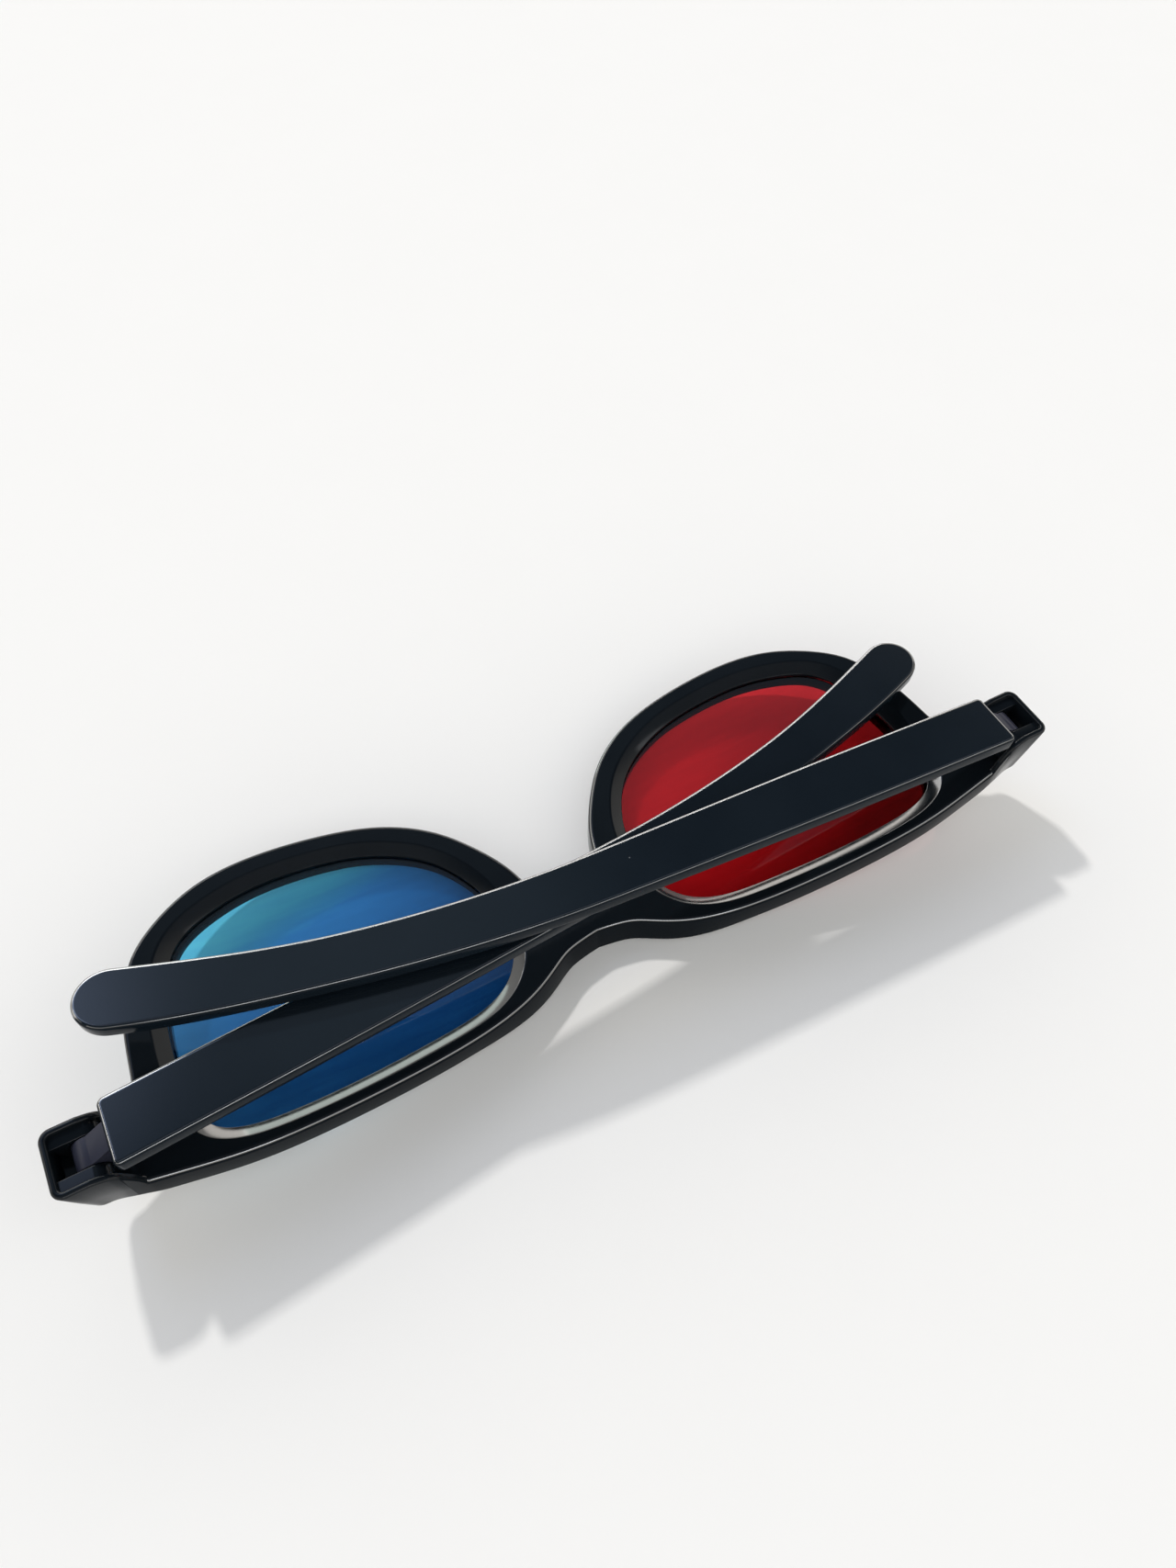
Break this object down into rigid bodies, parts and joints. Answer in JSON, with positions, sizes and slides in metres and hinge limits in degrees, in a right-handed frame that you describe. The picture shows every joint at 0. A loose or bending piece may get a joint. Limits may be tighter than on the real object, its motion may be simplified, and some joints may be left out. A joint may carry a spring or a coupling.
{
  "type": "anaglyph glasses",
  "caption": "Folding plastic anaglyph glasses with a wrapped moulded front, red and blue filter lenses, and curved temples on pin hinges, folded and lying on their face.",
  "frame": {"origin": "under the middle of the bridge, on the surface that the face of the front lies on, midway between the brow and the foot of the rims", "axes": "+X to the wearer's left along the front, +Y from the brow to the foot of the rims, +Z from the face of the front to its back, up from the surface it lies on"},
  "size_m": [0.146, 0.0414, 0.0215],
  "materials": {
    "front": "polished near-black plastic",
    "temple": "satin charcoal plastic with a fine grain",
    "lens_red": "clear red filter sheet",
    "lens_blue": "clear blue filter sheet",
    "pin": "drawn steel"
  },
  "bodies": {
    "front": {"front_frame": "front", "lens_left": "lens_red", "lens_right": "lens_blue", "pin_left": "pin", "pin_right": "pin"},
    "temple_left": {"temple_left": "temple"},
    "temple_right": {"temple_right": "temple"}
  },
  "joints": [
    {"name": "hinge_left", "type": "hinge", "parent": "front", "child": "temple_left", "pos_m": [0.0684, -0.0143, 0.0139], "axis": [0, 1, 0], "range_deg": [0, 88.64]},
    {"name": "hinge_right", "type": "hinge", "parent": "front", "child": "temple_right", "pos_m": [-0.0684, -0.0143, 0.0139], "axis": [0, -1, 0], "range_deg": [0, 91.36]}
  ]
}
